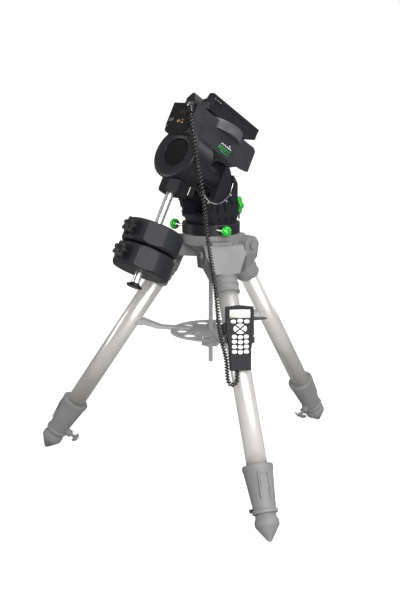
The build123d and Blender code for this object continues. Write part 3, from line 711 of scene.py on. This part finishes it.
def panel_sockets():
    """Brass power socket and small port, each a ring round a dark well, and the black jack frame."""
    metal = bmesh.new()
    dark = bmesh.new()
    for x, u, radius in ((0, 78, 4.9), (14, 82, 2.9)):
        place = face_frame((x, PANEL_Q, u), (0, -1, 0), (1, 0, 0))
        rim = [(radius, -0.5), (radius, 1.2), (0.7 * radius, 1.7), (0.6 * radius, -0.5)]
        hollow_lathe(metal, rim, place, 32)
        lathe(metal, [(0.28 * radius, -1.5), (0.28 * radius, 1.0), (0.1, 1.2)], place, 16)
        lathe(dark, [(0.62 * radius, -1.8), (0.62 * radius, -0.6)], place, 24)
    slab(dark, (6, PANEL_Q + 1.0, 106), (22, 1.4, 15))
    rings = add_piece("socket_rings", metal, HEAD, "equatorial_body", BRASS, edge=0.1)
    wells = add_piece("socket_wells", dark, HEAD, "equatorial_body", DARK, edge=0.1)
    bm = bmesh.new()
    outline = rounded(26, 19, 1.5)
    inner = rounded(16, 11, 0.5)
    place = face_frame((6, PANEL_Q, 106), (0, -1, 0), (1, 0, 0))
    count = len(outline)
    for i in range(count):
        j = (i + 1) % count
        prism(bm, [outline[i], outline[j], inner[j], inner[i]], -0.6, 0.7, place)
    jack = add_piece("jack_frame", bm, HEAD, "equatorial_body", BLACK_PLATE, edge=0)
    for piece in (rings, wells, jack):
        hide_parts("panel_sockets")


def plug_details():
    """Ribs of the plug's strain relief and the steel cap on its boss."""
    start = Vector((31, -76, 122))
    turn = math.radians(150)  # the plug points down and to the right
    along = Vector((math.sin(turn), 0, math.cos(turn)))
    bm = bmesh.new()
    for i in range(5):
        radius = 7.6 - 0.25 * i
        outline = [(radius, -1.1), (radius, 1.1), (5.5, 1.6), (5.5, -1.6)]
        hollow_lathe(bm, outline, face_frame(start + (9 + 3.8 * i) * along, along, (0, 1, 0)), steps=32)
    add_piece("plug_ribs", bm, HEAD, "equatorial_body", CORD, edge=0.2)
    bm = bmesh.new()
    place = face_frame((31, -83, 122), (0, -1, 0), (1, 0, 0))
    lathe(bm, [(6, -0.2), (6, 0.8), (5, 1.4), (0.1, 1.6)], place, steps=32)
    add_piece("plug_cap", bm, HEAD, "equatorial_body", STEEL, edge=0.1)


def saddle_details():
    """Ticks beside the sockets on the saddle's side, and dark pads for the sockets."""
    ticks = [((50.02, -16 + 12 * i, 172.5), (THIN, 5, 1)) for i in range(3)]
    marks("saddle_ticks", ticks, HEAD, "dec_body", WHITE_MARK)
    pads = [((46.3, -10 + 12 * i, 164.5), (0.3, 7, 8)) for i in range(3)]
    marks("saddle_sockets", pads, HEAD, "dec_body", DARK)


def clamp_screws():
    """Black socket screws sunk in the side of the counterweight shaft's block."""
    bm = bmesh.new()
    for u in (-84, -98):
        cap_screw(bm, face_frame((28, -2, u), (1, 0, 0), (0, 1, 0)), 4.2, 4)
    add_piece("clamp_screws", bm, HEAD, "equatorial_body", PLASTIC, edge=0.2)


def leg_details(name):
    """Raised panel and collar of a leg's clamp, and the knob and wings of its lock."""
    place = leg_frame(name)
    body = f"{name}_leg"
    lean = math.radians(5.5)  # taper of the clamp casting
    panel = face_frame((35.0, 0, 139), (math.cos(lean), 0, -math.sin(lean)), (0, 1, 0))
    bm = bmesh.new()
    for side in (-1, 1):
        slab(bm, (side * 13, 0, 0), (4, 66, 3), panel)
    slab(bm, (0, 31, 0), (28, 4, 3), panel)
    slab(bm, (0, 6, -0.6), (20, 30, 2.4), panel)
    collar = [(27, 70), (32.4, 70), (33.4, 73), (33.4, 78), (31.4, 81), (27, 81)]
    hollow_lathe(bm, collar, steps=56)
    add_piece(f"{name}_clamp_panel", bm, place, body, CASTING, edge=0.8)
    bm = bmesh.new()
    at = face_frame((-LOCK_IN, 0, LOCK_S), (-1, 0, 0), (0, 1, 0))
    lathe(bm, [(5, -35), (5, -3), (8.5, -2), (9.5, 0), (8.5, 5), (5, 7.5), (0.1, 8)], at, steps=32)
    for side in (-1, 1):
        wing = at @ Matrix.Translation((side * 14, 0, 4)) @ Matrix.Rotation(side * 0.5, 4, "Y")
        prism(bm, rounded(20, 11, 5), -2.2, 2.2, wing)
    wing = add_piece(f"{name}_lock_wing", bm, place, f"{name}_lock", CASTING, edge=0.8)
    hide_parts(f"{name}_leg_lock")


# ---------------------------------------------------------------- handset
PAD_Y = 24.0  # height of the direction pad's middle
KEY_LOW = 9.2  # from the handset's middle plane to the bottom of a key
KEY_TOP = 13.2
MENU_PRINT = (5, 1.2, 0.2)


def key_places():
    """Centre and size of each menu and number key, and place and bearing of each direction key."""
    menu = [(x, 45 - abs(x) * 0.12, 14.5, 9.5) for x in (-17.5, 0, 17.5)]
    arrows = [(13 * math.cos(turn), PAD_Y + 8.5 * math.sin(turn), turn) for turn in
              (math.pi * k / 2 for k in range(4))]
    digits = [(x, y + abs(x) * 0.1, 13.5, 10) for y in (2, -11, -24, -37) for x in (-15.5, 0, 15.5)]
    return menu, arrows, digits


def pad_key(turn):
    """Outline of one quarter of the oval direction pad, with a gap along the diagonals."""
    gap = 0.14
    points = [(2.2 * math.cos(turn), 2.0 * math.sin(turn))]
    for i in range(9):
        bearing = turn + (math.pi / 4 - gap) * (i / 4 - 1)
        points.append((17.5 * math.cos(bearing), 13.5 * math.sin(bearing)))
    return points


def add_text(bm, text, size, at):
    """Adds a short text's outline as a thin raised shape."""
    curve = bpy.data.curves.new("glyph", "FONT")
    curve.body = text
    curve.size = size
    curve.extrude = 0.06
    curve.align_x = "CENTER"
    curve.align_y = "CENTER"
    glyph = bpy.data.objects.new("glyph", curve)
    mesh = bpy.data.meshes.new_from_object(glyph)
    mesh.transform(at)
    bm.from_mesh(mesh)
    bpy.data.objects.remove(glyph)
    bpy.data.meshes.remove(mesh)


def handset_keys():
    """Rounded white keys with their printed arrows and numbers."""
    menu, arrows, digits = key_places()
    for name, places in (("arrow", menu), ("digit", digits)):
        bm = bmesh.new()
        for x, y, wide, high in places:
            at = Matrix.Translation((x, y, 0))
            prism(bm, rounded(wide, high, min(wide, high) * 0.49), KEY_LOW, KEY_TOP, at)
        if name == "arrow":
            for _, _, turn in arrows:
                prism(bm, pad_key(turn), KEY_LOW, KEY_TOP, Matrix.Translation((0, PAD_Y, 0)))
        keys = add_piece(f"{name}_keys", bm, HANDSET, f"{name}_key_body", KEY, edge=0)
        soften(keys, 0.8, angle=50, segments=3)
        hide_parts(f"handset_{name}_keys")
    bm = bmesh.new()
    for x, y, turn in arrows:
        tip = [(2.2 * math.cos(turn + t), 2.2 * math.sin(turn + t)) for t in (0, 2.2, -2.2)]
        prism(bm, tip, 13.1, 13.3, Matrix.Translation((x, y, 0)))
    for x, y, _, _ in menu:
        slab(bm, (x, y, KEY_TOP), MENU_PRINT)
    add_piece("arrow_prints", bm, HANDSET, "arrow_key_body", INK, edge=0)
    bm = bmesh.new()
    for label, (x, y, _, _) in zip("123456789-0-", digits):
        if label == "-":
            slab(bm, (x, y, KEY_TOP), MENU_PRINT)
        else:
            add_text(bm, label, 5.5, Matrix.Translation((x, y, 13.24)))
    add_piece("digit_prints", bm, HANDSET, "digit_key_body", INK, edge=0)


def handset_details():
    """Screen surround, side grips and the coloured tick under the screen."""
    bm = bmesh.new()
    frame_in, frame_out = rounded(55, 23, 2), rounded(60, 28, 4)
    for (x0, y0), (x1, y1), (x2, y2), (x3, y3) in zip(
            frame_in, frame_in[1:] + frame_in[:1], frame_out[1:] + frame_out[:1], frame_out):
        prism(bm, [(x0, y0 + 63), (x1, y1 + 63), (x2, y2 + 63), (x3, y3 + 63)], 11.6, 12.7)
    add_piece("screen_surround", bm, HANDSET, "right_leg", CASE, edge=0)
    marks("screen_tick", [((-17, 54, 12.0), (14, 2.2, 0.3))], HANDSET, "right_leg", YELLOW_MARK)
    bm = bmesh.new()
    for side in (-1, 1):
        for i in range(7):
            slab(bm, (side * 36.4, 60 - 6 * i, 0), (1.2, 2.4, 15))
    add_piece("handset_grips", bm, HANDSET, "right_leg", CASE, edge=0.4)


# ---------------------------------------------------------------- stage
CAMERA_TURN = 44.19
CAMERA_TILT = 13.3
CAMERA_AT = (1.9203, -2.0201, 1.1604)
LENS = 59.49
WORLD_LIGHT = 0.24
FLOOR_GLOW = 0.95
# place, size and power of each soft lamp, in metres and watts
LAMPS = (
    ("key", (2.7, -1.9, 2.0), (1.3, 1.8), 105),
    ("fill", (3.2, -0.9, 0.9), (1.6, 1.6), 45),
    ("top", (0.5, 0.6, 3.2), (1.4, 1.4), 40),
    ("side", (-2.6, -2.4, 1.4), (0.5, 2.2), 34),
    ("back", (0.9, 3.0, 1.8), (1.4, 2.0), 16),
)


def area_light(name, place, target, size, power):
    """A soft rectangular lamp that points at a target."""
    light = bpy.data.lights.new(name, "AREA")
    light.shape = "RECTANGLE"
    light.size = size[0]
    light.size_y = size[1]
    light.energy = power
    lamp = bpy.data.objects.new(name, light)
    lamp.location = place
    lamp.rotation_euler = (Vector(target) - Vector(place)).to_track_quat("-Z", "Y").to_euler()
    bpy.context.scene.collection.objects.link(lamp)


def camera_glow(nodes, links, seen, lit):
    """A light level that is seen where the camera looks, and a lower one that lights the object."""
    rays = nodes.new("ShaderNodeLightPath").outputs["Is Camera Ray"]
    level = nodes.new("ShaderNodeMapRange")
    level.inputs["To Min"].default_value = lit
    level.inputs["To Max"].default_value = seen
    links.new(rays, level.inputs["Value"])
    return level.outputs["Result"]


def studio_world():
    """White surroundings that light the object less than they show."""
    world = bpy.data.worlds.new("studio")
    world.use_nodes = True
    nodes, links = world.node_tree.nodes, world.node_tree.links
    background = nodes["Background"]
    background.inputs["Color"].default_value = (1, 1, 1, 1)
    links.new(camera_glow(nodes, links, 1.0, WORLD_LIGHT), background.inputs["Strength"])
    return world


def pale_floor():
    """A matt white floor, a little brighter to the camera than the light on it makes it."""
    material, nodes, links, shader = new_material("pale_floor")
    shader.inputs["Base Color"].default_value = (0.4, 0.4, 0.4, 1)
    shader.inputs["Roughness"].default_value = 0.9
    shader.inputs["Specular IOR Level"].default_value = 0.1
    shader.inputs["Emission Color"].default_value = (1, 1, 1, 1)
    links.new(camera_glow(nodes, links, FLOOR_GLOW, 0.0), shader.inputs["Emission Strength"])
    bm = bmesh.new()
    bmesh.ops.create_circle(bm, cap_ends=True, segments=64, radius=60000)
    floor = add_piece("floor", bm, Matrix.Translation((0, 0, -0.0005)) @ WORLD, None, material, edge=0)


def stage():
    """Camera, surroundings, floor and lamps."""
    scene = bpy.context.scene
    lens = bpy.data.cameras.new("camera")
    lens.lens = LENS
    camera = bpy.data.objects.new("camera", lens)
    camera.location = CAMERA_AT
    camera.rotation_euler = (math.radians(90 - CAMERA_TILT), 0, math.radians(CAMERA_TURN))
    scene.collection.objects.link(camera)
    scene.camera = camera
    scene.world = studio_world()
    scene.view_settings.view_transform = "Standard"
    pale_floor()
    for name, place, size, power in LAMPS:
        area_light(name, place, (0, 0, 0.75), size, power)


finish_nodes()
make_cord()
fork_details()
azimuth_knobs()
saddle_knobs()
altitude_star()
weight_knobs()
weight_shaft()
drum_cover()
declination_ring()
box_details()
panel_sockets()
plug_details()
saddle_details()
clamp_screws()
for leg in LEGS:
    leg_details(leg)
handset_keys()
handset_details()
stage()
